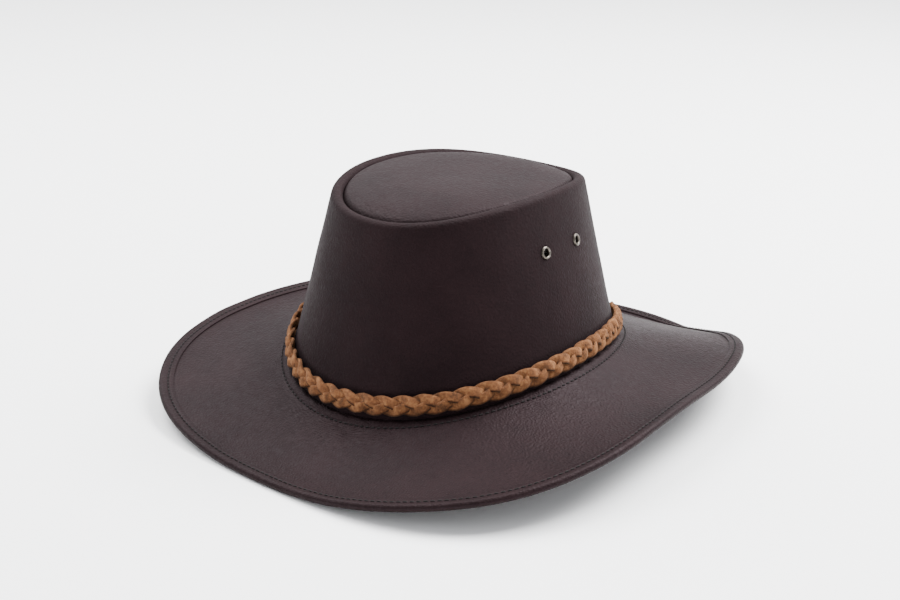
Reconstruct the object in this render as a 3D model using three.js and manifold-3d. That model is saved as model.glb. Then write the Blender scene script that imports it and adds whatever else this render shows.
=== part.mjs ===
// A leather bush hat: a tapered crown with a rolled rim and an inset tip, a curled brim with
// a turned hem, a plaited band and four eyelets.
// Millimetres, +Z up, front towards -Y, both sides alike, resting on the brim at z = 0.
// An angle round the hat is 0 at the front, a quarter turn at its left side (+X), and half a
// turn at the back.

import * as THREE from 'three';
import Module from 'manifold-3d';
import { mergeVertices } from 'three/addons/utils/BufferGeometryUtils.js';

// Leather, and the clearance between pieces
const crownLeather = 1.6;
const tipLeather = 1.6;
const brimLeather = 1.6;
const hemLeather = 1.0;
const gap = 0.3;

// Crown foot: the oval where the outside of the crown meets the middle of the brim's leather.
// It is lower at the front and back than at the sides.
const footLength = 212;
const footWidth = 174;
const footEgg = 0.15;
const footHeight = 33.9;
const footSaddle = 9.2;
const footTilt = -2.4;
const flangeWidth = 11;

// Crown rim: the crest of the rolled top edge
const crownHeight = 97.4;
const rimLength = 155.5;
const rimWidth = 123;
const rimEgg = 0.06;
const rimSquareness = 2.15;
const rimSetForward = 5;
const rimSlope = -1.5;
const rimSaddle = 4.7;
const rimRoll = 3.6;
const lipDepth = 4.5;

// Crown tip: the domed top panel inside the rim
const grooveDepth = 1.2;
const skirtDepth = 8;
const tipRise = 11.6;
const tipFullness = 4.7;
const tipEdgeRound = 2.4;

// Brim, from the crown foot to the outside of the hem
const brimWidth = 76;
const brimDrop = 33.5;
const hemWidth = 8.7;

// Half of the brim's outline. Reach is a share of brimWidth. Drop, of the edge below the
// crown foot's middle height, and sag, below a straight line from foot to edge, are shares
// of brimDrop.
const brimStations = [
  { angle: 0, reach: 0.81, drop: 0.955, sag: 0.23 },
  { angle: 30, reach: 0.97, drop: 0.71, sag: 0.19 },
  { angle: 60, reach: 0.97, drop: 0.275, sag: 0.165 },
  { angle: 90, reach: 0.82, drop: 0.07, sag: 0.195 },
  { angle: 120, reach: 0.95, drop: 0.135, sag: 0.13 },
  { angle: 150, reach: 1.06, drop: 0.52, sag: 0.05 },
  { angle: 180, reach: 1.06, drop: 1.085, sag: -0.02 },
];

// Hat band: a flat plait of three strands
const plaitHeight = 11;
const plaitThickness = 4.6;
const plaitSeat = 1.8;
const plaitClearance = 0.5;
const plaitPitch = 11.2;
const plaitNotch = 0.22;
const plaitSlant = 0.9;

// Eyelets in the crown wall
const eyeletRadius = 3.6;
const eyeletBore = 2.1;
const barrelRadius = 2.5;
const eyeletLip = 0.8;
const eyeletSpacing = 31.8;
const eyeletAngle = 91.4;
const eyeletHeight = 66.4;

// Facets
const hatSides = 64;
const sectionsPerLobe = 4;
const eyeletSides = 12;

const up = new THREE.Vector3(0, 0, 1);
const fullTurn = Math.PI * 2;

// A smooth curve round the hat through evenly spaced stations from the front to the back,
// the same on both sides: a series of cosines.
function aroundHat(stations, column, angle) {
  const last = stations.length - 1;
  const endShare = (index) => (index === 0 || index === last ? 0.5 : 1);
  let value = 0;
  for (let wave = 0; wave <= last; wave += 1) {
    let strength = 0;
    for (let index = 0; index <= last; index += 1) {
      const phase = (wave * index * Math.PI) / last;
      strength += endShare(index) * stations[index][column] * Math.cos(phase);
    }
    value += endShare(wave) * strength * Math.cos(wave * angle);
  }
  return (value * 2) / last;
}

// The outline of the crown foot
function foot(angle) {
  const side = (footWidth / 2) * Math.sin(angle) * (1 + footEgg * Math.cos(angle));
  const along = (-footLength / 2) * Math.cos(angle);
  const height = footHeight - footSaddle * Math.cos(2 * angle) + footTilt * Math.cos(angle);
  return new THREE.Vector3(side, along, height);
}

// The crest of the rolled rim: a squarish egg, fuller at the front
function rim(angle) {
  const power = 2 / rimSquareness;
  const cosine = Math.sign(Math.cos(angle)) * Math.abs(Math.cos(angle)) ** power;
  const sine = Math.sign(Math.sin(angle)) * Math.abs(Math.sin(angle)) ** power;
  const side = (rimWidth / 2) * sine * (1 + rimEgg * Math.cos(angle));
  const along = -rimSetForward - (rimLength / 2) * cosine;
  const slope = rimSlope * Math.cos(angle) - rimSaddle * Math.cos(2 * angle);
  return new THREE.Vector3(side, along, footHeight + crownHeight + slope);
}

// The level direction that points straight out of a curve round the hat
function outwardOf(curve, angle) {
  const step = 0.01;
  const ahead = curve(angle + step);
  const behind = curve(angle - step);
  return new THREE.Vector3(ahead.y - behind.y, behind.x - ahead.x, 0).normalize();
}

function offset(origin, outward, out, rise) {
  return origin.clone().addScaledVector(outward, out).addScaledVector(up, rise);
}

// A closed ring from a loop of points at each section
function ringSolid(sections, loopAt) {
  const loops = [];
  for (let section = 0; section < sections; section += 1) {
    loops.push(loopAt((section / sections) * fullTurn, section));
  }
  const count = loops[0].length;
  const points = loops.flat();
  const indices = [];
  for (let section = 0; section < sections; section += 1) {
    const here = section * count;
    const next = ((section + 1) % sections) * count;
    for (let index = 0; index < count; index += 1) {
      const after = (index + 1) % count;
      indices.push(...twoFaces(points, [here + index, next + index, next + after, here + after]));
    }
  }
  return facingOut(points.flatMap((point) => point.toArray()), indices);
}

// Four corners as two triangles, split along the shorter diagonal, so that surfaces which
// run beside each other are split alike
function twoFaces(points, [first, second, third, fourth]) {
  const forward = points[first].distanceTo(points[third]);
  const across = points[second].distanceTo(points[fourth]);
  if (forward <= across) {
    return [first, second, third, first, third, fourth];
  }
  return [first, second, fourth, second, third, fourth];
}

// A closed body from lines that run from a shared top point to a shared bottom point
function capSolid(sections, top, bottom, lineAt) {
  const lines = [];
  for (let section = 0; section < sections; section += 1) {
    lines.push(lineAt((section / sections) * fullTurn));
  }
  const count = lines[0].length;
  const positions = [...lines.flat(), top, bottom].flatMap((point) => point.toArray());
  const topIndex = sections * count;
  const bottomIndex = topIndex + 1;
  const indices = [];
  for (let section = 0; section < sections; section += 1) {
    const here = section * count;
    const next = ((section + 1) % sections) * count;
    indices.push(topIndex, here, next);
    indices.push(bottomIndex, next + count - 1, here + count - 1);
    for (let index = 0; index + 1 < count; index += 1) {
      indices.push(here + index, here + index + 1, next + index + 1);
      indices.push(here + index, next + index + 1, next + index);
    }
  }
  return facingOut(positions, indices);
}

// Turns every face over when the body's volume comes out negative
function facingOut(positions, indices) {
  const point = (index) => new THREE.Vector3().fromArray(positions, index * 3);
  let volume = 0;
  for (let corner = 0; corner < indices.length; corner += 3) {
    const [first, second, third] = indices.slice(corner, corner + 3).map(point);
    volume += first.dot(second.cross(third));
  }
  const geometry = new THREE.BufferGeometry();
  geometry.setAttribute('position', new THREE.Float32BufferAttribute(positions, 3));
  geometry.setIndex(volume < 0 ? indices.reverse() : indices);
  geometry.computeVertexNormals();
  return geometry;
}

// The crown wall: straight from the foot up to the roll of the rim, with the roll's centre
// and the angle at which the wall meets it
function wallAt(angle) {
  const base = foot(angle);
  const outward = outwardOf(rim, angle);
  const centre = offset(rim(angle), outward, -rimRoll / 2, -rimRoll);
  const lean = base.clone().sub(centre);
  const startAngle = Math.atan2(lean.dot(outward), -lean.z);
  const top = rollPoint({ centre, outward }, rimRoll, startAngle);
  return { base, top, centre, outward, startAngle };
}

function rollPoint(wall, radius, angle) {
  return offset(wall.centre, wall.outward, radius * Math.cos(angle), radius * Math.sin(angle));
}

function wallSurface(angle, share) {
  const { base, top } = wallAt(angle);
  return base.lerp(top, share);
}

// The wall's frame at a share of its height: its point, its normal and the way up along it
function wallFrame(angle, share) {
  const step = 0.01;
  const point = wallSurface(angle, share);
  const along = wallSurface(angle + step, share).sub(wallSurface(angle - step, share));
  const upward = wallSurface(angle, 1).sub(wallSurface(angle, 0)).normalize();
  const normal = along.cross(upward).normalize();
  return { point, normal, upward };
}

// The middle of the brim's leather: heights and slopes outward from the crown foot.
// Where the leather would sink below the surface it lies flat on it.
const hemHalf = brimLeather / 2 + gap + hemLeather;
const hemInside = brimLeather / 2 + gap;

function brimAt(angle) {
  const origin = foot(angle);
  const outward = outwardOf(foot, angle);
  const reach = brimWidth * aroundHat(brimStations, 'reach', angle);
  const edge = footHeight - brimDrop * aroundHat(brimStations, 'drop', angle);
  const fall = edge - origin.z;
  const sag = brimDrop * aroundHat(brimStations, 'sag', angle);
  return { origin, outward, reach, fall, sag };
}

function brimSlice(brim, out) {
  const share = out / brim.reach;
  const height = brim.origin.z + brim.fall * share - 4 * brim.sag * share * (1 - share);
  const slope = (brim.fall - 4 * brim.sag * (1 - 2 * share)) / brim.reach;
  if (height < hemHalf * Math.hypot(1, slope)) {
    return { height: hemHalf, slope: 0 };
  }
  return { height, slope };
}

// A point of the brim at a distance from the foot and a level above the leather's middle
function brimPoint(brim, out, level) {
  const { height, slope } = brimSlice(brim, out);
  const rise = height - brim.origin.z + level * Math.hypot(1, slope);
  return offset(brim.origin, brim.outward, out, rise);
}

// A point on the round of the hem, about the middle of the leather
function hemRound(brim, out, radius, angle) {
  const { height, slope } = brimSlice(brim, out);
  const turned = angle + Math.atan(slope);
  const rise = height - brim.origin.z + radius * Math.sin(turned);
  return offset(brim.origin, brim.outward, out + radius * Math.cos(turned), rise);
}

const degrees = THREE.MathUtils.degToRad;

// Crown wall, with its rolled rim and the flange that is sewn under the brim
function crownWallGeometry() {
  const flangeTop = -brimLeather / 2 - gap;
  const flangeBottom = flangeTop - crownLeather;
  return ringSolid(hatSides, (angle) => {
    const wall = wallAt(angle);
    const brim = brimAt(angle);
    const loop = [
      brimPoint(brim, flangeWidth, flangeBottom),
      brimPoint(brim, flangeWidth, flangeTop),
      brimPoint(brim, 0, flangeTop),
    ];
    for (const share of [0, 0.25, 0.5, 0.75]) {
      loop.push(wallSurface(angle, share));
    }
    const rollSteps = 5;
    for (let step = 0; step <= rollSteps; step += 1) {
      const turn = THREE.MathUtils.lerp(wall.startAngle, Math.PI, step / rollSteps);
      loop.push(rollPoint(wall, rimRoll, turn));
    }
    const inside = rimRoll - crownLeather;
    loop.push(offset(wall.centre, wall.outward, -rimRoll, -lipDepth));
    loop.push(offset(wall.centre, wall.outward, -inside, -lipDepth));
    loop.push(rollPoint(wall, inside, Math.PI));
    loop.push(rollPoint(wall, inside, (Math.PI + wall.startAngle) / 2));
    for (const share of [1, 0.66, 0.33, 0]) {
      const frame = wallFrame(angle, share);
      loop.push(frame.point.addScaledVector(frame.normal, -crownLeather));
    }
    loop.push(brimPoint(brim, -crownLeather, flangeBottom));
    return loop;
  });
}

// Crown tip: a domed panel whose edge turns down inside the rim's lip
function tipEdge(angle) {
  const wall = wallAt(angle);
  return offset(wall.centre, wall.outward, -rimRoll - gap, rimRoll - grooveDepth);
}

function crownTipGeometry() {
  const front = tipEdge(0);
  const back = tipEdge(Math.PI);
  const middle = front.clone().lerp(back, 0.5);
  const domePoint = (edge, share) => {
    const point = middle.clone().lerp(edge, share);
    const fall = share ** tipFullness;
    point.z = (middle.z + tipRise) * (1 - fall) + edge.z * fall;
    return point;
  };
  // A point of the turned edge, part of the way from the dome (0) to its outside (1)
  const turnedPoint = (edge, part) => {
    const turn = (part * Math.PI) / 2;
    const inset = tipEdgeRound * (1 - Math.sin(turn));
    const point = domePoint(edge, 1 - inset / middle.distanceTo(edge));
    return offset(point, up, 0, -tipEdgeRound * (1 - Math.cos(turn)));
  };
  const top = domePoint(front, 0);
  const bottom = offset(top, up, 0, -tipLeather);
  return capSolid(hatSides, top, bottom, (angle) => {
    const edge = tipEdge(angle);
    const { outward } = wallAt(angle);
    const line = [0.45, 0.7, 0.86].map((share) => domePoint(edge, share));
    line.push(...[0, 0.5, 1].map((part) => turnedPoint(edge, part)));
    line.push(offset(edge, outward, 0, -skirtDepth));
    line.push(offset(edge, outward, -tipLeather, -skirtDepth));
    line.push(offset(edge, outward, -tipLeather, -tipEdgeRound));
    for (const share of [0.92, 0.6]) {
      line.push(offset(domePoint(edge, share), outward, 0, -tipLeather));
    }
    return line;
  });
}

// Brim: one sheet of leather round the crown foot, its edge inside the hem
function brimGeometry() {
  return ringSolid(hatSides, (angle) => {
    const brim = brimAt(angle);
    const hemInner = brim.reach - hemWidth;
    const outs = [gap, flangeWidth];
    for (const share of [0.25, 0.5, 0.75, 1]) {
      outs.push(THREE.MathUtils.lerp(flangeWidth, hemInner, share));
    }
    outs.push(brim.reach - hemHalf);
    const top = outs.map((out) => brimPoint(brim, out, brimLeather / 2));
    const bottom = outs.map((out) => brimPoint(brim, out, -brimLeather / 2));
    return [...top, ...bottom.reverse()];
  });
}

// Hem: a strip of leather turned over the brim's edge, with one leg above and one below
function brimHemGeometry() {
  return ringSolid(hatSides, (angle) => {
    const brim = brimAt(angle);
    const inner = brim.reach - hemWidth;
    const centre = brim.reach - hemHalf;
    return [
      brimPoint(brim, inner, hemHalf),
      brimPoint(brim, centre, hemHalf),
      hemRound(brim, centre, hemHalf, degrees(50)),
      hemRound(brim, centre, hemHalf, 0),
      hemRound(brim, centre, hemHalf, degrees(-50)),
      brimPoint(brim, centre, -hemHalf),
      brimPoint(brim, inner, -hemHalf),
      brimPoint(brim, inner, -hemInside),
      brimPoint(brim, centre, -hemInside),
      hemRound(brim, centre, hemInside, 0),
      brimPoint(brim, centre, hemInside),
      brimPoint(brim, inner, hemInside),
    ];
  });
}

// Hat band: the plait as one body, its edges notched between the lobes of the strands
function hatBandGeometry() {
  const middleHeight = plaitSeat + plaitHeight / 2;
  const lobes = Math.round((Math.PI * (footLength + footWidth)) / 2 / plaitPitch);
  const bump = (turns) => Math.abs(Math.cos(turns * Math.PI));
  const ringAngles = [90, 35, -35, -90, -140, 180, 140];
  return ringSolid(lobes * sectionsPerLobe, (angle, section) => {
    const { base, top } = wallAt(angle);
    const frame = wallFrame(angle, middleHeight / base.distanceTo(top));
    const halfThickness = plaitThickness / 2;
    const centre = frame.point.addScaledVector(frame.normal, plaitClearance + halfThickness);
    const turns = section / sectionsPerLobe;
    return ringAngles.map((ringAngle) => {
      const out = Math.cos(degrees(ringAngle));
      const rise = Math.sin(degrees(ringAngle));
      const lobe = rise >= 0 ? bump(turns) : bump(turns + 0.5);
      const relief = bump(turns + (plaitSlant * rise) / 2);
      const height = (plaitHeight / 2) * (1 - plaitNotch * (1 - lobe));
      const thickness = out > 0 ? halfThickness * (1 - plaitNotch * (1 - relief)) : halfThickness;
      return centre
        .clone()
        .addScaledVector(frame.normal, thickness * out)
        .addScaledVector(frame.upward, height * rise);
    });
  });
}

// Eyelets: where each one sits on the wall, as an angle and a share of the wall's height
function eyeletFrame(side, place) {
  const middle = degrees(eyeletAngle);
  const { base, top } = wallAt(middle);
  const share = eyeletHeight / base.distanceTo(top);
  const step = 0.01;
  const behind = wallSurface(middle - step, share);
  const perRadian = wallSurface(middle + step, share).distanceTo(behind) / (2 * step);
  const angle = side * (middle + (place * eyeletSpacing) / 2 / perRadian);
  return wallFrame(angle, share);
}

// A rolled eyelet: a barrel through the wall, with a lip outside and one inside
function eyeletGeometry() {
  const inside = -crownLeather - gap;
  const crest = (eyeletRadius + eyeletBore) / 2;
  const outline = [
    [eyeletBore, inside - eyeletLip / 2],
    [eyeletRadius - eyeletLip / 2, inside - eyeletLip],
    [eyeletRadius - eyeletLip / 2, inside],
    [barrelRadius, inside],
    [barrelRadius, gap],
    [eyeletRadius, gap],
    [eyeletRadius - eyeletLip / 4, gap + eyeletLip * 0.7],
    [crest, gap + eyeletLip],
    [eyeletBore, gap + eyeletLip / 2],
    [eyeletBore, inside - eyeletLip / 2],
  ];
  const points = outline.map(([radius, height]) => new THREE.Vector2(radius, height));
  return weld(new THREE.LatheGeometry(points, eyeletSides));
}

// Keeps only the positions, with shared corners merged
function weld(geometry) {
  geometry.deleteAttribute('normal');
  geometry.deleteAttribute('uv');
  const merged = mergeVertices(geometry, 1e-4);
  const positions = Array.from(merged.getAttribute('position').array);
  return facingOut(positions, Array.from(merged.getIndex().array));
}

// Cuts a hole through a body for each place where an eyelet goes
function cutHoles(wasm, geometry, frames) {
  const asSolid = (body) => new wasm.Manifold(new wasm.Mesh({
    numProp: 3,
    vertProperties: new Float32Array(body.getAttribute('position').array),
    triVerts: new Uint32Array(body.getIndex().array),
  }));
  let solid = asSolid(geometry);
  for (const frame of frames) {
    const depth = 4 * crownLeather;
    const drill = new THREE.CylinderGeometry(
      barrelRadius + gap, barrelRadius + gap, depth, eyeletSides,
    );
    drill.applyMatrix4(seating(frame));
    solid = solid.subtract(asSolid(weld(drill)));
  }
  const mesh = solid.getMesh();
  return facingOut(Array.from(mesh.vertProperties), Array.from(mesh.triVerts));
}

// The turn and shift that bring a body's Y axis onto the wall's normal
function seating(frame) {
  const yAxis = new THREE.Vector3(0, 1, 0);
  const turn = new THREE.Quaternion().setFromUnitVectors(yAxis, frame.normal);
  return new THREE.Matrix4().compose(frame.point, turn, new THREE.Vector3(1, 1, 1));
}

const darkLeather = { color: 0x2c211f, roughness: 0.5, metalness: 0 };
const tanLeather = { color: 0xa8672f, roughness: 0.85, metalness: 0 };
const agedBrass = { color: 0x8a7a5c, roughness: 0.35, metalness: 0.9 };

const hat = new THREE.Group();
hat.position.y = (brimAt(0).reach - brimAt(Math.PI).reach) / 2;

function addPiece(name, geometry, finish) {
  const mesh = new THREE.Mesh(geometry, new THREE.MeshStandardMaterial(finish));
  mesh.name = name;
  hat.add(mesh);
  return mesh;
}

const wasm = await Module();
wasm.setup();

const eyelets = [
  { name: 'eyelet_left_front', frame: eyeletFrame(1, -1) },
  { name: 'eyelet_left_back', frame: eyeletFrame(1, 1) },
  { name: 'eyelet_right_front', frame: eyeletFrame(-1, -1) },
  { name: 'eyelet_right_back', frame: eyeletFrame(-1, 1) },
];

const wall = cutHoles(wasm, crownWallGeometry(), eyelets.map(({ frame }) => frame));
addPiece('crown_wall', wall, darkLeather);
addPiece('crown_tip', crownTipGeometry(), darkLeather);
addPiece('brim', brimGeometry(), darkLeather);
addPiece('brim_hem', brimHemGeometry(), darkLeather);
addPiece('hat_band', hatBandGeometry(), tanLeather);
for (const { name, frame } of eyelets) {
  addPiece(name, eyeletGeometry(), agedBrass).applyMatrix4(seating(frame));
}

export default hat;
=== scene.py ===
import itertools
import math

import bpy
import numpy as np
from mathutils import Matrix, Vector


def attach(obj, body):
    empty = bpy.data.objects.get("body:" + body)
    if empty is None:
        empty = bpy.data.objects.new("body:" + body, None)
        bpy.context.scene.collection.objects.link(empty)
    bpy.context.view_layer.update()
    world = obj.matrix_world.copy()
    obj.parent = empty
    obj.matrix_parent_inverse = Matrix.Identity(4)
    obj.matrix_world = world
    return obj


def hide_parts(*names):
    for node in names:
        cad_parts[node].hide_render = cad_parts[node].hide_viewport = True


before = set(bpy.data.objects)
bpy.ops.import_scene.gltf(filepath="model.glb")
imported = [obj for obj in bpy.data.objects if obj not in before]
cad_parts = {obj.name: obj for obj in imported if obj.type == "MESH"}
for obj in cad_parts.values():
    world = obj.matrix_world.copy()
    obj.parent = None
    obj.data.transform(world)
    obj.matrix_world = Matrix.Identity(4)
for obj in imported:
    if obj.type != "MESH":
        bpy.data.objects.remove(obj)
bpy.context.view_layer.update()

# A leather bush hat. Sizes are in millimetres, in the part's own frame, and become metres
# when a mesh is made. An angle round the hat is 0 at the front (-Y) and grows towards +X.

METRES = 0.001
FULL_TURN = 2 * math.pi

# Leather and clearance
CROWN_LEATHER = 1.6
TIP_LEATHER = 1.6
BRIM_LEATHER = 1.6
HEM_LEATHER = 1.0
GAP = 0.3

# Crown foot
FOOT_LENGTH = 212
FOOT_WIDTH = 174
FOOT_EGG = 0.15
FOOT_HEIGHT = 33.9
FOOT_SADDLE = 9.2
FOOT_TILT = -2.4
FLANGE_WIDTH = 11

# Crown rim
CROWN_HEIGHT = 97.4
RIM_LENGTH = 155.5
RIM_WIDTH = 123
RIM_EGG = 0.06
RIM_SQUARENESS = 2.15
RIM_SET_FORWARD = 5
RIM_SLOPE = -1.5
RIM_SADDLE = 4.7
RIM_ROLL = 3.6
LIP_DEPTH = 4.5

# Crown tip
GROOVE_DEPTH = 1.2
SKIRT_DEPTH = 8
TIP_RISE = 11.6
TIP_FULLNESS = 4.7
TIP_EDGE_ROUND = 2.4
TIP_SEAT_CLEARANCE = 0.02

# Brim, with its stations from the front to the back, every thirty degrees
BRIM_WIDTH = 76
BRIM_DROP = 33.5
HEM_WIDTH = 8.7
HEM_HALF = BRIM_LEATHER / 2 + GAP + HEM_LEATHER
BRIM_STATIONS = {
    "reach": (0.81, 0.97, 0.97, 0.82, 0.95, 1.06, 1.06),
    "drop": (0.955, 0.71, 0.275, 0.07, 0.135, 0.52, 1.085),
    "sag": (0.23, 0.19, 0.165, 0.195, 0.13, 0.05, -0.02),
}

# Stitch rows
SEAM_DISTANCE = 5.5
SEAM_GROOVE_WIDTH = 0.8
SEAM_GROOVE_DEPTH = 0.22
HEM_STITCH_INSET = 5.4
HEM_GROOVE_WIDTH = 0.9
HEM_GROOVE_DEPTH = 0.3
STITCH_PITCH = 3.5
STITCH_LENGTH = 2.5
STITCH_RADIUS = 0.42
STITCH_SUNK_UPPER = 0.1
STITCH_SUNK_LOWER = 0.3

# Hat band: three flat laces, plaited
PLAIT_SEAT = 1.8
PLAIT_HEIGHT = 11
PLAIT_CLEARANCE = 0.5
PLAIT_THICKNESS = 4.6
PLAIT_TURNS = 18
LACE_WIDTH = 5.8
LACE_THICKNESS = 1.7
LACE_SWING = 2.9
LACE_WEAVE = 1.4

# Eyelets
EYELET_RADIUS = 3.6
EYELET_BORE = 2.1
BARREL_RADIUS = 2.5
EYELET_LIP = 0.8
EYELET_INNER_INSET = 0.3
EYELET_SIT = 0.02
EYELET_SPACING = 31.8
EYELET_ANGLE = 91.4
EYELET_HEIGHT = 66.4

# Soft unevenness of each surface: layers of height, cell size and seed
WALL_DENTS = ((0.7, 52, 11), (0.25, 19, 12))
TIP_DENTS = ((0.55, 34, 21), (0.2, 13, 22))
BRIM_WAVES = ((0.5, 46, 3), (0.22, 17, 5))
LACE_FUZZ = ((0.09, 1.4, 33), (0.12, 3.6, 34))

# Mesh resolution
WALL_SECTIONS = 600
BRIM_SECTIONS = 840
LACE_STEPS_PER_TURN = 36


def around_hat(column, angle):
    """A smooth curve round the hat through the brim's stations, alike on both sides."""
    stations = np.array(BRIM_STATIONS[column])
    last = len(stations) - 1
    ends = np.ones(last + 1)
    ends[[0, last]] = 0.5
    value = np.zeros_like(angle)
    for wave in range(last + 1):
        phase = np.cos(wave * np.arange(last + 1) * math.pi / last)
        value = value + ends[wave] * np.sum(ends * stations * phase) * np.cos(wave * angle)
    return value * 2 / last


def centring():
    """How far the hat shifts along Y so that its box is centred on the origin."""
    reach = around_hat("reach", np.array([0.0, math.pi])) * BRIM_WIDTH
    return (reach[0] - reach[1]) / 2


SET_BACK = centring()


def foot(angle):
    """The outline of the crown foot."""
    side = FOOT_WIDTH / 2 * np.sin(angle) * (1 + FOOT_EGG * np.cos(angle))
    along = SET_BACK - FOOT_LENGTH / 2 * np.cos(angle)
    height = FOOT_HEIGHT - FOOT_SADDLE * np.cos(2 * angle) + FOOT_TILT * np.cos(angle)
    return np.stack([side, along, height], -1)


def rim(angle):
    """The crest of the rolled rim."""
    power = 2 / RIM_SQUARENESS
    cosine = np.sign(np.cos(angle)) * np.abs(np.cos(angle)) ** power
    sine = np.sign(np.sin(angle)) * np.abs(np.sin(angle)) ** power
    side = RIM_WIDTH / 2 * sine * (1 + RIM_EGG * np.cos(angle))
    along = SET_BACK - RIM_SET_FORWARD - RIM_LENGTH / 2 * cosine
    slope = RIM_SLOPE * np.cos(angle) - RIM_SADDLE * np.cos(2 * angle)
    return np.stack([side, along, FOOT_HEIGHT + CROWN_HEIGHT + slope], -1)


def unit(vectors):
    return vectors / np.linalg.norm(vectors, axis=-1, keepdims=True)


def outward_of(curve, angle):
    """The level direction that points straight out of a curve round the hat."""
    step = 0.01
    along = curve(angle + step) - curve(angle - step)
    return unit(np.stack([along[..., 1], -along[..., 0], 0 * angle], -1))


def lifted(points, rise):
    return points + np.stack([0 * rise, 0 * rise, rise], -1)


# Soft unevenness

def soft_noise(points, cell, seed):
    """Smooth noise between -1 and 1 that changes over about one cell."""
    scaled = points / cell
    base = np.floor(scaled).astype(np.int64)
    part = scaled - base
    part = part * part * (3 - 2 * part)
    total = np.zeros(points.shape[:-1])
    for corner in itertools.product((0, 1), repeat=3):
        key = base + np.array(corner)
        mixed = key[..., 0] * 73856093 ^ key[..., 1] * 19349663 ^ key[..., 2] * 83492791
        mixed = (mixed ^ seed * 265443) * 1274126177 & 0xFFFFFFFF
        mixed = (mixed ^ mixed >> 15) * 2246822519 & 0xFFFFFFFF
        value = (mixed >> 8 & 0xFFFF) / 32767.5 - 1
        total += value * np.prod(np.where(corner, part, 1 - part), axis=-1)
    return total


def unevenness(points, layers):
    return sum(height * soft_noise(points, cell, seed) for height, cell, seed in layers)


# Crown wall

def wall_at(angle):
    """The wall's foot, its top, and the roll's centre with the angle where the wall meets it."""
    base = foot(angle)
    outward = outward_of(rim, angle)
    centre = lifted(rim(angle) - outward * RIM_ROLL / 2, -RIM_ROLL + 0 * angle)
    lean = base - centre
    start = np.arctan2(np.sum(lean * outward, -1), -lean[..., 2])
    top = roll_point(centre, outward, RIM_ROLL, start)
    return base, top, centre, outward, start


def roll_point(centre, outward, radius, turn):
    swing = outward * (radius * np.cos(turn))[..., None]
    return lifted(centre + swing, radius * np.sin(turn))


def wall_surface(angle, share):
    base, top, _, _, _ = wall_at(angle)
    return base + (top - base) * share[..., None]


def wall_frame(angle, share):
    """Point, normal and upward direction of the wall."""
    step = 0.01
    along = wall_surface(angle + step, share) - wall_surface(angle - step, share)
    upward = unit(wall_surface(angle, share + step) - wall_surface(angle, share - step))
    normal = unit(np.cross(along, upward))
    return wall_surface(angle, share), normal, upward


def wall_length(angle):
    base, top, _, _, _ = wall_at(angle)
    return np.linalg.norm(top - base, axis=-1)


# Brim

def soft_floor(height, lowest):
    """Keeps a height above a lowest value, with a soft bend where it comes down to it."""
    softness = 0.45
    return lowest + softness * np.logaddexp(0, (height - lowest) / softness)


def brim_middle(angle, out):
    """The middle of the brim's leather at a distance out from the crown foot."""
    origin = foot(angle)
    reach = BRIM_WIDTH * around_hat("reach", angle)
    edge = FOOT_HEIGHT - BRIM_DROP * around_hat("drop", angle)
    sag = BRIM_DROP * around_hat("sag", angle)
    share = out / reach
    height = origin[..., 2] + (edge - origin[..., 2]) * share - 4 * sag * share * (1 - share)
    point = origin + outward_of(foot, angle) * out[..., None]
    point[..., 2] = height
    wave = unevenness(point, BRIM_WAVES)
    point[..., 2] = soft_floor(height + wave * np.clip(out / 12, 0, 1), HEM_HALF)
    return point


def brim_frame(angle, out):
    """Point, normal and outward direction of the brim's middle surface."""
    turn = 0.004
    step = 0.5
    along = brim_middle(angle + turn, out) - brim_middle(angle - turn, out)
    across = unit(brim_middle(angle, out + step) - brim_middle(angle, out - step))
    normal = unit(np.cross(along, across))
    normal = np.where(normal[..., 2:] < 0, -normal, normal)
    return brim_middle(angle, out), normal, unit(across)


def brim_reach(angle):
    return BRIM_WIDTH * around_hat("reach", angle)


def groove(distance, width, depth):
    return -depth * np.exp(-(distance / width) ** 2)


def brim_top_level(out):
    """Height of the brim's upper surface above its middle: skived thin at the crown seam,
    and drawn down along the seam's stitches."""
    level = BRIM_LEATHER / 2 - 1.1 * np.exp(-(out / 1.5) ** 2)
    return level + groove(out - SEAM_DISTANCE, SEAM_GROOVE_WIDTH, SEAM_GROOVE_DEPTH)


# Meshes

def new_piece(name, points, faces, material):
    """A mesh object from points in millimetres, with its faces turned outwards."""
    mesh = bpy.data.meshes.new(name)
    mesh.from_pydata((points.reshape(-1, 3) * METRES).tolist(), [], faces)
    mesh.polygons.foreach_set("use_smooth", np.ones(len(mesh.polygons), bool))
    mesh.materials.append(material)
    mesh.validate()
    return outside_out(link_new(name, mesh))


def link_new(name, data):
    """A new object in the scene that shows a mesh, a light or a camera."""
    thing = bpy.data.objects.new(name, data)
    bpy.context.scene.collection.objects.link(thing)
    return thing


def ring_faces(sections, count, start=0):
    """Quads of a closed ring whose every section is a closed loop."""
    here = np.arange(sections)[:, None] * count
    following = (np.arange(sections)[:, None] + 1) % sections * count
    index = np.arange(count)[None, :]
    after = (index + 1) % count
    quads = [here + index, here + after, following + after, following + index]
    return start + np.stack(quads, -1).reshape(-1, 4)


def ring_piece(name, loops, material):
    sections, count, _ = loops.shape
    return new_piece(name, loops, ring_faces(sections, count).tolist(), material)


def outside_out(piece):
    """Turns the faces over when the mesh encloses a negative volume."""
    mesh = piece.data
    mesh.calc_loop_triangles()
    corners = np.zeros(len(mesh.loop_triangles) * 3, int)
    mesh.loop_triangles.foreach_get("vertices", corners)
    points = np.zeros(len(mesh.vertices) * 3)
    mesh.vertices.foreach_get("co", points)
    first, second, third = points.reshape(-1, 3)[corners.reshape(-1, 3)].transpose(1, 0, 2)
    if np.sum(first * np.cross(second, third)) < 0:
        mesh.flip_normals()
    return piece


def finish_piece(piece, slot, *nodes):
    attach(piece, "root")
    if nodes:
        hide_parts(*nodes)


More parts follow.
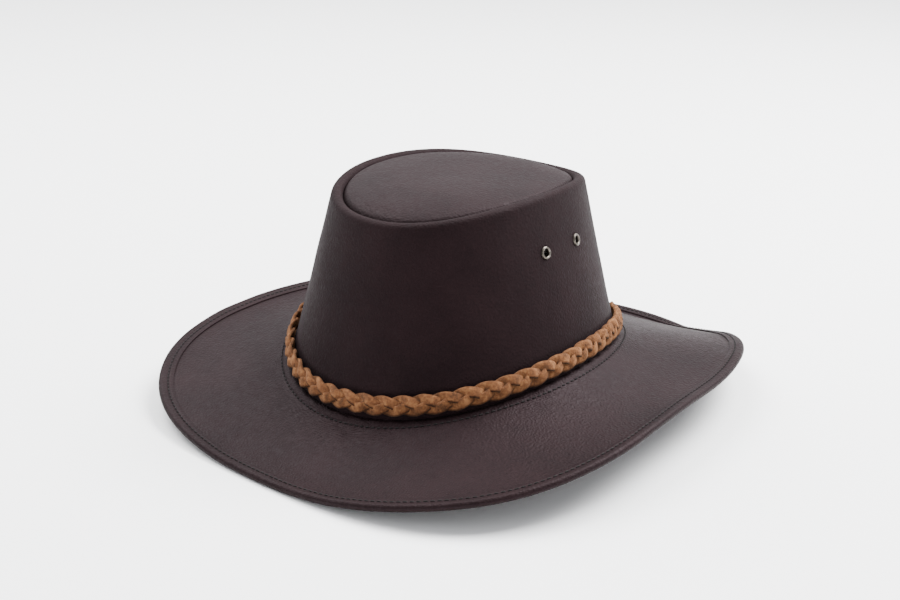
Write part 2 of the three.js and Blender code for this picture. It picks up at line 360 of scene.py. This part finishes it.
def set_scalar(piece, name, values):
    """Stores one number for each point of a mesh, for its material to read."""
    attribute = piece.data.attributes.new(name, "FLOAT", "POINT")
    attribute.data.foreach_set("value", np.asarray(values, np.float32).ravel())


# Materials

class Shader:
    """A material's node tree with short calls for the nodes that the materials share."""

    def __init__(self, name):
        self.material = bpy.data.materials.new(name)
        self.material.use_nodes = True
        self.tree = self.material.node_tree
        self.principled = self.tree.nodes["Principled BSDF"]
        self.place = self.tree.nodes.new("ShaderNodeTexCoord").outputs["Object"]

    def node(self, kind, inputs=(), **settings):
        node = self.tree.nodes.new(kind)
        for key, value in settings.items():
            setattr(node, key, value)
        for key, value in dict(inputs).items():
            self.feed(node.inputs[key], value)
        return node

    def feed(self, socket, value):
        if isinstance(value, bpy.types.NodeSocket):
            self.tree.links.new(value, socket)
        else:
            socket.default_value = value

    def noise(self, scale, detail=4.0, roughness=0.55, place=None, kind="FBM"):
        inputs = {"Vector": place or self.place, "Scale": scale, "Detail": detail}
        inputs["Roughness"] = roughness
        return self.node("ShaderNodeTexNoise", inputs, noise_type=kind).outputs["Fac"]

    def cells(self, scale, place):
        inputs = {"Vector": place, "Scale": scale}
        node = self.node("ShaderNodeTexVoronoi", inputs, feature="SMOOTH_F1")
        return node.outputs["Distance"]

    def stretched(self, scale):
        inputs = {"Vector": self.place, "Scale": scale}
        return self.node("ShaderNodeMapping", inputs).outputs["Vector"]

    def attribute(self, name):
        return self.node("ShaderNodeAttribute", attribute_name=name).outputs["Fac"]

    def spread(self, value, low, high, new_low=0.0, new_high=1.0):
        inputs = {"Value": value, "From Min": low, "From Max": high}
        inputs.update({"To Min": new_low, "To Max": new_high})
        return self.node("ShaderNodeMapRange", inputs).outputs["Result"]

    def math(self, operation, first, second=0.0):
        return self.node("ShaderNodeMath", {0: first, 1: second}, operation=operation).outputs[0]

    def colours(self, value, stops):
        ramp = self.node("ShaderNodeValToRGB", {"Fac": value})
        elements = ramp.color_ramp.elements
        while len(elements) < len(stops):
            elements.new(0.5)
        for element, (position, colour) in zip(elements, stops):
            element.position = position
            element.color = (*colour, 1)
        return ramp.outputs["Color"]

    def mix(self, factor, first, second):
        node = self.node("ShaderNodeMix", data_type="RGBA")
        self.feed(node.inputs["Factor"], factor)
        self.feed(node.inputs[6], first)
        self.feed(node.inputs[7], second)
        return node.outputs[2]

    def bump(self, height, distance, strength=1.0, under=None):
        inputs = {"Height": height, "Distance": distance, "Strength": strength}
        if under is not None:
            inputs["Normal"] = under
        return self.node("ShaderNodeBump", inputs).outputs["Normal"]

    def surface(self, **inputs):
        for key, value in inputs.items():
            self.feed(self.principled.inputs[key.replace("_", " ")], value)
        return self.material


# Looks. Colours are linear, and a grain is the depth of the leather's pebbles in metres.

LEATHER_DARK = (0.0036, 0.0019, 0.0021)
LEATHER_LIGHT = (0.0082, 0.0042, 0.0046)
LEATHER_SPECULAR = 0.095
LEATHER_TINT = (1, 0.71, 0.79, 1)
CROWN_GRAIN = 0.00027
BRIM_GRAIN = 0.00034
CREASE_PITCH = 0.0013

SUEDE_STOPS = (
    (0.36, (0.028, 0.0085, 0.0045)),
    (0.5, (0.105, 0.037, 0.0145)),
    (0.64, (0.21, 0.092, 0.038)),
)
SUEDE_FIBRES = (0.24, 0.115, 0.05, 1)
# Colour of the painted shade along the lace's edges
SUEDE_EDGE_SHADE = (0.014, 0.004, 0.002, 1)

THREAD_STOPS = ((0.3, (0.003, 0.0025, 0.0025)), (0.8, (0.009, 0.007, 0.007)))

BRASS_STOPS = (
    (0.35, (0.04, 0.035, 0.029)),
    (0.6, (0.14, 0.122, 0.104)),
    (0.8, (0.26, 0.232, 0.204)),
)

FLOOR_STOPS = ((0.3, (0.92, 0.92, 0.92)), (0.7, (0.935, 0.935, 0.935)))


def leather(name, roughness, grain, creased=False):
    """Smooth finished leather: fine pebbled grain, soft folds and slow changes of tone."""
    shader = Shader(name)
    warped = shader.node("ShaderNodeVectorMath", {0: shader.place}, operation="ADD")
    drift = shader.node("ShaderNodeTexNoise", {"Vector": shader.place, "Scale": 90.0})
    shift = shader.node("ShaderNodeVectorMath", {0: drift.outputs["Color"]}, operation="SCALE")
    shift.inputs["Scale"].default_value = 0.004
    shader.feed(warped.inputs[1], shift.outputs[0])
    place = warped.outputs[0]
    pebbles = shader.spread(shader.cells(900, place), 0.1, 0.75)
    pores = shader.noise(2600, 2.0)
    folds = shader.spread(shader.noise(130, 6.0, 0.62, place, "RIDGED_MULTIFRACTAL"), 0.9, 2.2)
    tone = shader.noise(26, 5.0, 0.6)
    fine_tone = shader.noise(320, 4.0, 0.6)
    colour = shader.colours(tone, ((0.3, LEATHER_DARK), (0.72, LEATHER_LIGHT)))
    worn = shader.spread(fine_tone, 0.35, 0.8, 0.0, 0.35)
    colour = shader.mix(worn, colour, (*[1.6 * part for part in LEATHER_LIGHT], 1))
    normal = shader.bump(tone, 0.0009, 0.35)
    normal = shader.bump(folds, 0.0003, 0.6, normal)
    if creased:
        ridges = creases(shader, shader.attribute("seam_distance"))
        normal = shader.bump(ridges, 0.00016, 0.7, normal)
    normal = shader.bump(pebbles, grain, 0.7, normal)
    normal = shader.bump(pores, 0.00005, 0.4, normal)
    gloss = shader.spread(fine_tone, 0.25, 0.8, roughness - 0.07, roughness + 0.1)
    return shader.surface(
        Base_Color=colour, Roughness=gloss, Normal=normal,
        Specular_IOR_Level=LEATHER_SPECULAR, Specular_Tint=LEATHER_TINT,
    )


def creases(shader, distance):
    """Fine wrinkles that run beside the crown seam and fade out across the brim."""
    wander = shader.math("MULTIPLY", shader.noise(70, 2.0, 0.4), 0.008)
    phase = shader.math("MULTIPLY", shader.math("ADD", distance, wander), FULL_TURN / CREASE_PITCH)
    wave = shader.math("SINE", phase)
    fade = shader.spread(distance, 0.006, 0.024, 1.0, 0.0)
    patches = shader.spread(shader.noise(30, 2.0), 0.45, 0.7)
    return shader.math("MULTIPLY", shader.math("MULTIPLY", wave, fade), patches)


def suede(name):
    """Brushed lace: fuzzy, pale where it is rubbed, with painted shade along its edges that is
    darkest along the lower edge.
    """
    shader = Shader(name)
    tone = shader.noise(210, 5.0, 0.7)
    fibres = shader.noise(2400, 5.0, 0.75)
    nap = shader.noise(800, 4.0, 0.7)
    colour = shader.colours(tone, SUEDE_STOPS)
    rubbed = shader.spread(fibres, 0.35, 0.75, 0.0, 0.45)
    colour = shader.mix(rubbed, colour, SUEDE_FIBRES)
    across = shader.attribute("across")
    # Painted shade: the lace darkens towards its edges, strongly along its lower edge and less
    # along its upper edge, in place of the shade between the plaited lobes.
    ragged = shader.math("ADD", across, shader.math("MULTIPLY", shader.noise(900, 3.0), 0.3))
    lower_edge_shade = shader.spread(ragged, 0.62, 1.02, 0.0, 0.94)
    upper_edge_shade = shader.spread(ragged, -0.9, -0.66, 0.45, 0.0)
    edge = shader.math("MAXIMUM", lower_edge_shade, upper_edge_shade)
    colour = shader.mix(edge, colour, SUEDE_EDGE_SHADE)
    normal = shader.bump(tone, 0.0006, 0.5)
    normal = shader.bump(nap, 0.00042, 1.0, normal)
    normal = shader.bump(fibres, 0.0002, 1.0, normal)
    return shader.surface(
        Base_Color=colour, Roughness=0.95, Normal=normal, Specular_IOR_Level=0.12,
        Sheen_Weight=0.1, Sheen_Roughness=0.6, Sheen_Tint=(0.9, 0.55, 0.3, 1),
    )


def thread(name):
    """Waxed sewing thread."""
    shader = Shader(name)
    twist = shader.noise(1800, 3.0)
    colour = shader.colours(twist, THREAD_STOPS)
    normal = shader.bump(twist, 0.00012, 0.8)
    return shader.surface(
        Base_Color=colour, Roughness=0.7, Normal=normal, Specular_IOR_Level=0.15,
    )


def aged_brass(name):
    """Dulled brass with darker tarnish."""
    shader = Shader(name)
    tarnish = shader.noise(420, 5.0, 0.65)
    scratches = shader.noise(1500, 4.0, 0.6, shader.stretched((1, 1, 6)))
    colour = shader.colours(tarnish, BRASS_STOPS)
    gloss = shader.spread(tarnish, 0.3, 0.75, 0.5, 0.26)
    normal = shader.bump(scratches, 0.00003, 0.4)
    return shader.surface(Base_Color=colour, Roughness=gloss, Normal=normal, Metallic=1.0)


def floor_material():
    shader = Shader("pale_floor")
    tone = shader.noise(2.0, 2.0)
    colour = shader.colours(tone, FLOOR_STOPS)
    return shader.surface(
        Base_Color=colour, Roughness=0.9, Specular_IOR_Level=0.1,
        Emission_Color=(1, 1, 1, 1), Emission_Strength=0.02,
    )


# Pieces

def section_angles(sections):
    """Angles round the hat, starting at the back."""
    return np.linspace(math.pi, math.pi + FULL_TURN, sections, endpoint=False)


def crown_wall(material):
    """Crown wall with its rolled rim and the flange under the brim, and its eyelet holes."""
    angle = section_angles(WALL_SECTIONS)
    _, _, centre, outward, start = wall_at(angle)
    flange_top = -BRIM_LEATHER / 2 - GAP
    flange_bottom = flange_top - CROWN_LEATHER
    loop = []

    def add_flange(out, level):
        point, normal, _ = brim_frame(angle, out + 0 * angle)
        loop.append(point + normal * level)

    add_flange(FLANGE_WIDTH, flange_bottom)
    add_flange(FLANGE_WIDTH, flange_top)
    for out in (8.0, 5.0, 2.0):
        add_flange(out, flange_top)
    for share in np.linspace(0, 1, 64)[:-1]:
        point, normal, _ = wall_frame(angle, share + 0 * angle)
        loop.append(point + normal * wall_relief(point, share)[..., None])
    for part in np.linspace(0, 1, 16):
        loop.append(roll_point(centre, outward, RIM_ROLL, start + (math.pi - start) * part))
    for depth in (0.35, 0.7, 1.0):
        loop.append(lifted(centre - outward * RIM_ROLL, -LIP_DEPTH * depth + 0 * angle))
    inside = RIM_ROLL - CROWN_LEATHER
    loop.append(lifted(centre - outward * inside, -LIP_DEPTH + 0 * angle))
    loop.append(roll_point(centre, outward, inside, math.pi + 0 * angle))
    loop.append(roll_point(centre, outward, inside, (math.pi + start) / 2))
    for share in np.linspace(1, 0, 20):
        point, normal, _ = wall_frame(angle, share + 0 * angle)
        loop.append(point + normal * (wall_relief(point, share) - CROWN_LEATHER)[..., None])
    add_flange(-CROWN_LEATHER, flange_bottom)
    add_flange(4.0, flange_bottom)
    piece = ring_piece("crown_wall_leather", np.stack(loop, 1), material)
    for side, place in itertools.product((1, -1), (-1, 1)):
        drill(piece, *eyelet_frame(side, place))
    return piece


def wall_relief(point, share):
    """Soft dents of a crown that has been worn, none of them at the foot or the rim."""
    fade = math.sin(math.pi * min(1, max(0, share))) ** 0.7
    return fade * unevenness(point, WALL_DENTS)


def drill(piece, point, normal):
    """Cuts a round hole through the wall."""
    turn = Vector(normal).to_track_quat("Z", "Y").to_matrix().to_4x4()
    bpy.ops.mesh.primitive_cylinder_add(
        vertices=48, radius=(BARREL_RADIUS + GAP) * METRES, depth=4 * CROWN_LEATHER * METRES,
    )
    cutter = bpy.context.object
    cutter.matrix_world = Matrix.Translation(Vector(point) * METRES) @ turn
    cut = piece.modifiers.new("hole", "BOOLEAN")
    cut.object = cutter
    cut.operation = "DIFFERENCE"
    cut.solver = "MANIFOLD"
    bpy.context.view_layer.update()
    bpy.context.view_layer.objects.active = piece
    bpy.ops.object.modifier_apply(modifier=cut.name)
    cutter_mesh = cutter.data
    bpy.data.objects.remove(cutter)
    bpy.data.meshes.remove(cutter_mesh)


def eyelet_frame(side, place):
    """Where an eyelet sits on the wall, and the wall's normal there."""
    middle = np.array(math.radians(EYELET_ANGLE))
    share = EYELET_HEIGHT / wall_length(middle)
    step = 0.01
    swept = wall_surface(middle + step, share) - wall_surface(middle - step, share)
    per_radian = np.linalg.norm(swept) / (2 * step)
    angle = side * (middle + place * EYELET_SPACING / 2 / per_radian)
    point, normal, _ = wall_frame(angle, share)
    return point + normal * wall_relief(point, float(share)), normal


def tip_edge(angle):
    _, _, centre, outward, _ = wall_at(angle)
    return lifted(centre - outward * (RIM_ROLL + GAP), RIM_ROLL - GROOVE_DEPTH + 0 * angle)


def tip_middle():
    return tip_edge(np.array([0.0, math.pi])).mean(0)


def tip_dome(angle, share):
    """The outside of the crown tip, from its middle (0) to its turned edge (1)."""
    middle = tip_middle()
    edge = tip_edge(angle)
    share = share + 0 * angle
    point = middle + (edge - middle) * share[..., None]
    fall = share**TIP_FULLNESS
    point[..., 2] = (middle[2] + TIP_RISE) * (1 - fall) + edge[..., 2] * fall
    return point


def crown_tip(material):
    """Domed tip whose edge rounds over and turns down inside the rim."""
    angle = section_angles(WALL_SECTIONS)
    _, _, _, outward, _ = wall_at(angle)
    edge = tip_edge(angle)
    lines = []
    for share in np.linspace(0.03, 0.94, 40):
        point = tip_dome(angle, share)
        relief = unevenness(point, TIP_DENTS)
        lines.append(lifted(point, relief * math.cos(share * math.pi / 2) ** 0.5))
    across = np.linalg.norm(edge - tip_middle(), axis=-1)
    for turn in np.linspace(0, 1, 9) * math.pi / 2:
        inset = TIP_EDGE_ROUND * (1 - math.sin(turn))
        point = tip_dome(angle, 1 - inset / across)
        lines.append(lifted(point, -TIP_EDGE_ROUND * (1 - math.cos(turn)) + 0 * angle))
    seated = edge + outward * (GAP - TIP_SEAT_CLEARANCE)
    lines.append(lifted(seated, -TIP_EDGE_ROUND - 1.5 + 0 * angle))
    lines.append(lifted(seated, -SKIRT_DEPTH + 0 * angle))
    lines.append(lifted(edge - outward * TIP_LEATHER, -SKIRT_DEPTH + 0 * angle))
    lines.append(lifted(edge - outward * TIP_LEATHER, -TIP_EDGE_ROUND + 0 * angle))
    for share in (0.92, 0.8, 0.6, 0.3, 0.03):
        lines.append(lifted(tip_dome(angle, share), -TIP_LEATHER + 0 * angle))
    lines = np.stack(lines, 1)
    sections, count, _ = lines.shape
    faces = ring_faces(sections, count).reshape(sections, count, 4)[:, :-1].reshape(-1, 4)
    points = lines.reshape(-1, 3)
    return cap_piece("crown_tip_leather", points, faces, sections, count, material)


def cap_piece(name, points, faces, sections, count, material):
    """Closes the first and the last loop of a lofted panel with a fan."""
    top = points[::count].mean(0)
    bottom = points[count - 1::count].mean(0)
    here = np.arange(sections) * count
    following = np.roll(here, -1)
    fan = 0 * here + len(points)
    upper = np.stack([fan, here, following], -1)
    lower = np.stack([fan + 1, following + count - 1, here + count - 1], -1)
    every = faces.tolist() + upper.tolist() + lower.tolist()
    return new_piece(name, np.vstack([points, top, bottom]), every, material)


def brim(material):
    """The brim's sheet of leather, drawn down at the crown seam."""
    angle = section_angles(BRIM_SECTIONS)[:, None]
    near = np.array([0.3, 0.7, 1.2, 1.8, 2.5, 3.3, 4.0, 4.6, 5.0, 5.5, 6.0, 6.4, 7.0, 8.0])
    end = brim_reach(angle) - HEM_HALF
    far = near[-1] + (end - near[-1]) * np.linspace(0, 1, 42)[None, 1:]
    out = np.concatenate([near[None, :] + 0 * angle, far], 1)
    point, normal, _ = brim_frame(angle + 0 * out, out)
    top = point + normal * brim_top_level(out)[..., None]
    coarse = np.linspace(out.shape[1] - 1, 0, 20).astype(int)
    bottom = point[:, coarse] - normal[:, coarse] * BRIM_LEATHER / 2
    piece = ring_piece("brim_leather", np.concatenate([top, bottom], 1), material)
    set_scalar(piece, "seam_distance", np.concatenate([out, out[:, coarse]], 1) * METRES)
    return piece


def round_edge(point, outward, normal, radius, turn):
    return point + outward * radius * math.cos(turn) + normal * radius * math.sin(turn)


def brim_hem(material):
    """The strip turned over the brim's edge, pinched where it is sewn."""
    angle = section_angles(BRIM_SECTIONS)
    centre = brim_reach(angle) - HEM_HALF
    leg = HEM_WIDTH - HEM_HALF
    sewn = HEM_STITCH_INSET - HEM_HALF
    inner_level = BRIM_LEATHER / 2 + 0.04
    loops = []

    def add(back, level):
        point, normal, _ = brim_frame(angle, centre - back)
        loops.append(point + normal * level)

    def leg_level(back):
        pinch = groove(back - sewn, HEM_GROOVE_WIDTH, HEM_GROOVE_DEPTH)
        skived = -0.45 * math.exp(-((leg - back) / 0.8) ** 2)
        return HEM_HALF - 0.15 + pinch + skived + 0.15 * math.exp(-(back / 1.5) ** 2)

    backs = [leg, leg - 0.15, leg - 0.5, leg - 1.0, 4.6, 4.1, 3.6, 3.1, 2.6, 2.1, 1.4, 0.7]
    add(leg, inner_level + 0.1)
    for back in backs:
        add(back, leg_level(back))
    point, normal, outward = brim_frame(angle, centre)
    for turn in np.linspace(math.pi / 2, -math.pi / 2, 15):
        loops.append(round_edge(point, outward, normal, HEM_HALF, turn))
    for back in backs[::-1]:
        add(back, -leg_level(back))
    add(leg, -inner_level - 0.1)
    for back in (4.0, 0.5):
        add(back, -inner_level)
    for turn in np.linspace(-math.pi / 2, math.pi / 2, 5):
        loops.append(round_edge(point, outward, normal, inner_level, turn))
    for back in (0.5, 4.0):
        add(back, inner_level)
    return ring_piece("brim_hem_leather", np.stack(loops, 1), material)


def stitch_row(name, curve, material, sunk):
    """A row of stitches along a closed curve that gives points, normals and directions."""
    samples = 4000
    angle = section_angles(samples)
    points, _ = curve(angle)
    steps = np.linalg.norm(np.roll(points, -1, 0) - points, axis=-1)
    travelled = np.concatenate([[0], np.cumsum(steps)])
    count = round(travelled[-1] / STITCH_PITCH)
    pitch = travelled[-1] / count
    around = 8
    shape = [(-0.5, 0.1), (-0.47, 0.55), (-0.36, 0.9), (-0.15, 1.0)]
    shape = shape + [(-place, width) for place, width in shape[::-1]]
    shares = np.array([place for place, _ in shape])
    widths = np.array([width for _, width in shape])
    middle = (np.arange(count) + 0.5) * pitch
    where = middle[:, None] + shares[None, :] * STITCH_LENGTH
    turned = np.interp(where, travelled, np.append(angle, angle[0] + FULL_TURN))
    centre, normal = curve(turned.ravel())
    ahead, _ = curve(turned.ravel() + 0.001)
    along = unit(ahead - centre)
    side = unit(np.cross(normal, along))
    arch = np.tile(STITCH_RADIUS * 0.8 * (1 - (2 * shares) ** 4) - sunk, count)
    centre = centre + normal * arch[:, None]
    turn = np.arange(around) / around * FULL_TURN
    radius = np.tile(widths * STITCH_RADIUS, count)[:, None, None]
    ring = side[:, None] * np.cos(turn)[None, :, None]
    ring = ring + normal[:, None] * np.sin(turn)[None, :, None]
    loops = (centre[:, None] + ring * radius).reshape(count, len(shape), around, 3)
    faces = []
    index = np.arange(around)
    for step in range(len(shape) - 1):
        lower = step * around + index
        upper = lower + around
        faces.append(np.stack([lower, np.roll(lower, -1), np.roll(upper, -1), upper], -1))
    one = np.concatenate(faces)
    size = len(shape) * around
    quads = (np.arange(count)[:, None, None] * size + one[None]).reshape(-1, 4).tolist()
    first = index[::-1].tolist()
    last = (index + size - around).tolist()
    ends = []
    for stitch, end in itertools.product(range(count), (first, last)):
        ends.append([stitch * size + corner for corner in end])
    return new_piece(name, loops, quads + ends, material)


def seam_curve(angle):
    out = SEAM_DISTANCE + 0 * angle
    point, normal, _ = brim_frame(angle, out)
    return point + normal * brim_top_level(out)[..., None], normal


def hem_curve(face):
    """The stitch line on the hem's upper (1) or lower (-1) face."""
    def curve(angle):
        out = brim_reach(angle) - HEM_STITCH_INSET
        point, normal, _ = brim_frame(angle, out)
        return point + normal * face * (HEM_HALF - 0.45), normal * face
    return curve


def plait_middle(angle):
    """The middle line of the hat band, with the wall's normal and the way up along it."""
    share = (PLAIT_SEAT + PLAIT_HEIGHT / 2) / wall_length(angle)
    point, normal, upward = wall_frame(angle, share)
    return point + normal * (PLAIT_CLEARANCE + PLAIT_THICKNESS / 2), normal, upward


def even_angles(curve, count):
    """Angles that cut a closed curve round the hat into stretches of equal length."""
    angle = np.linspace(0, FULL_TURN, 2001)
    points = curve(angle)[0]
    steps = np.linalg.norm(np.diff(points, axis=0), axis=-1)
    travelled = np.concatenate([[0], np.cumsum(steps)])
    return np.interp(np.linspace(0, travelled[-1], count, endpoint=False), travelled, angle)


def plait(material):
    """Three flat laces, each crossing over the middle from its own side in turn."""
    steps = PLAIT_TURNS * LACE_STEPS_PER_TURN
    angle = even_angles(plait_middle, steps)
    middle, normal, upward = plait_middle(angle)
    turns = np.arange(steps) / LACE_STEPS_PER_TURN * FULL_TURN
    laces = []
    for lace in range(3):
        phase = turns + lace * FULL_TURN / 3
        uneven = soft_noise(np.stack([turns, 0 * turns + 40 * lace, 0 * turns], -1), 2.2, 31)
        swing = LACE_SWING * np.sin(phase) * (1 + 0.08 * uneven)
        weave = -LACE_WEAVE * np.sin(2 * phase)
        path = middle + upward * swing[:, None] + normal * weave[:, None]
        laces.append(lace_loops(path, normal, phase, uneven))
    loops = np.stack(laces)
    count = loops.shape[2]
    faces = np.concatenate([ring_faces(steps, count, lace * steps * count) for lace in range(3)])
    piece = new_piece("plaited_lace", loops, faces.tolist(), material)
    set_scalar(piece, "across", lace_outline()[0] + 0 * loops[..., 0])
    return piece


def lace_outline():
    """A lace's cross-section: how far each point is across it and through it, -1 to 1."""
    turn = np.linspace(0, FULL_TURN, 24, endpoint=False)
    flatness = 0.55
    wide = np.sign(np.cos(turn)) * np.abs(np.cos(turn)) ** flatness
    thick = np.sign(np.sin(turn)) * np.abs(np.sin(turn)) ** flatness
    return wide, thick


def lace_loops(path, normal, phase, uneven):
    """Flat sections along a lace, tilted so that it passes under one neighbour and over the
    other."""
    ahead = unit(np.roll(path, -1, 0) - np.roll(path, 1, 0))
    across = unit(np.cross(ahead, normal))
    across = unit(across - normal * (LACE_WEAVE / LACE_SWING * 0.55 * np.cos(phase))[:, None])
    face = unit(np.cross(across, ahead))
    wide, thick = lace_outline()
    width = LACE_WIDTH / 2 * (1 + 0.06 * uneven)
    crown = 0.22 * (1 - wide**2) * np.sign(thick)
    level = LACE_THICKNESS / 2 * thick + crown
    loops = path[:, None] + across[:, None] * width[:, None, None] * wide[None, :, None]
    loops = loops + face[:, None] * level[None, :, None]
    fuzz = unevenness(loops, LACE_FUZZ)
    return loops + face[:, None] * (fuzz * np.sign(thick)[None, :])[..., None]


def eyelet(name, point, normal, material):
    """A rolled metal eyelet: a barrel through the wall with a lip outside and one inside."""
    inside = -CROWN_LEATHER - 0.1
    inner_radius = EYELET_RADIUS - EYELET_INNER_INSET
    lip_middle = (EYELET_RADIUS + EYELET_BORE) / 2
    lip_half = (EYELET_RADIUS - EYELET_BORE) / 2
    outline = []
    for turn in np.linspace(math.pi, 0, 13):
        rise = 0.08 + EYELET_LIP * 1.1 * math.sin(turn)
        outline.append((lip_middle + lip_half * math.cos(turn), rise))
    outline.append((EYELET_RADIUS, EYELET_SIT))
    outline.append((BARREL_RADIUS, EYELET_SIT))
    outline.append((BARREL_RADIUS, inside))
    outline.append((inner_radius, inside))
    for turn in np.linspace(0, -math.pi, 7)[1:]:
        reach = (inner_radius + EYELET_BORE) / 2
        reach += (inner_radius - EYELET_BORE) / 2 * math.cos(turn)
        outline.append((reach, inside + EYELET_LIP * math.sin(turn)))
    radius = np.array([place for place, _ in outline])
    height = np.array([rise for _, rise in outline])
    turn = np.linspace(0, FULL_TURN, 64, endpoint=False)
    side = unit(np.cross(normal, [0, 0, 1]))
    other = np.cross(normal, side)
    spoke = np.cos(turn)[:, None] * side + np.sin(turn)[:, None] * other
    loops = point + spoke[:, None] * radius[None, :, None] + normal * height[None, :, None]
    return ring_piece(name, loops, material)


# Camera, floor and light

CAMERA_AZIMUTH = math.radians(41.39)
CAMERA_ELEVATION = math.radians(19.64)
CAMERA_ROLL = math.radians(0.85)
CAMERA_DISTANCE = 890.15
CAMERA_SHIFT = (-9.16, -19.46)
CAMERA_FOCUS_HEIGHT = 45
CAMERA_LEVELLING = math.radians(0.3)
FOCAL_PIXELS = 1529.8
IMAGE_WIDTH = 900
SENSOR_WIDTH = 36

# Each light's place and size in metres, and its power in watts
LIGHTS = {
    "right": ((0.45, 0.95, 1.6), (1.2, 1.2), 148),
    "left": ((-1.0, -0.1, 1.7), (1.6, 1.6), 88),
    "back": ((-1.7, 1.9, 0.9), (2.4, 1.0), 7),
}
LIGHTS_AIM = (0, 0, 0.08)
WORLD_COLOUR = (0.95, 0.97, 1.0, 1)
WORLD_STRENGTH = 1.22
FLOOR_HALF = 6.0
FLOOR_CLEARANCE = 0.0002


def place_camera():
    """The photograph's view: aimed in the crown foot's frame, then levelled with the hat."""
    sine, cosine = math.sin(CAMERA_AZIMUTH), math.cos(CAMERA_AZIMUTH)
    right = Vector((cosine, sine, 0))
    level = math.cos(CAMERA_ELEVATION)
    back = Vector((sine * level, -cosine * level, math.sin(CAMERA_ELEVATION)))
    upward = back.cross(right)
    place = Vector((0, 0, CAMERA_FOCUS_HEIGHT)) + back * CAMERA_DISTANCE
    place += right * CAMERA_SHIFT[0] + upward * CAMERA_SHIFT[1]
    aim = Matrix((right, upward, back)).transposed().to_4x4()
    aim = aim @ Matrix.Rotation(CAMERA_ROLL, 4, "Z")
    aim.translation = place
    levelling = Matrix.Rotation(CAMERA_LEVELLING, 4, "X")
    seat = Matrix.Translation((0, SET_BACK, FOOT_HEIGHT))
    world = seat @ levelling @ aim
    world.translation *= METRES
    data = bpy.data.cameras.new("camera")
    data.sensor_width = SENSOR_WIDTH
    data.sensor_fit = "HORIZONTAL"
    data.lens = FOCAL_PIXELS / IMAGE_WIDTH * SENSOR_WIDTH
    camera = link_new("camera", data)
    camera.matrix_world = world
    bpy.context.scene.camera = camera


def lay_floor():
    half = FLOOR_HALF
    mesh = bpy.data.meshes.new("floor")
    corners = [(-half, -half, 0), (half, -half, 0), (half, half, 0), (-half, half, 0)]
    mesh.from_pydata(corners, [], [(0, 1, 2, 3)])
    mesh.materials.append(floor_material())
    floor = link_new("floor", mesh)
    floor.location.z = -FLOOR_CLEARANCE


def area_light(name, place, size, power):
    data = bpy.data.lights.new(name, "AREA")
    data.shape = "RECTANGLE"
    data.size, data.size_y = size
    data.energy = power
    light = link_new(name, data)
    light.location = place
    aim = Vector(LIGHTS_AIM) - Vector(place)
    light.rotation_euler = aim.to_track_quat("-Z", "Y").to_euler()


def light_scene():
    world = bpy.data.worlds.new("studio")
    bpy.context.scene.world = world
    world.use_nodes = True
    background = world.node_tree.nodes["Background"]
    background.inputs["Color"].default_value = WORLD_COLOUR
    background.inputs["Strength"].default_value = WORLD_STRENGTH
    for name, (place, size, power) in LIGHTS.items():
        area_light(name, place, size, power)


def dress_hat():
    hide = leather("dark_leather_crown", 0.6, CROWN_GRAIN)
    wall_hide = leather("dark_leather_wall", 0.75, CROWN_GRAIN)
    brim_hide = leather("dark_leather_brim", 0.58, BRIM_GRAIN, creased=True)
    finish_piece(crown_wall(wall_hide), "dark_leather", "crown_wall")
    finish_piece(crown_tip(hide), "dark_leather", "crown_tip")
    finish_piece(brim(brim_hide), "dark_leather", "brim")
    finish_piece(brim_hem(hide), "dark_leather", "brim_hem")
    sewing = thread("dark_thread")
    rows = (
        ("crown_seam_stitches", seam_curve, STITCH_SUNK_UPPER),
        ("hem_stitches_upper", hem_curve(1), STITCH_SUNK_UPPER),
        ("hem_stitches_lower", hem_curve(-1), STITCH_SUNK_LOWER),
    )
    for name, curve, sunk in rows:
        finish_piece(stitch_row(name, curve, sewing, sunk), "dark_leather")
    finish_piece(plait(suede("tan_suede")), "tan_lace", "hat_band")
    brass = aged_brass("aged_brass_metal")
    sides, places = {1: "left", -1: "right"}, {-1: "front", 1: "back"}
    for side, place in itertools.product(sides, places):
        node = f"eyelet_{sides[side]}_{places[place]}"
        point, normal = eyelet_frame(side, place)
        finish_piece(eyelet(f"{node}_metal", point, normal, brass), "aged_brass", node)


place_camera()
dress_hat()
lay_floor()
light_scene()
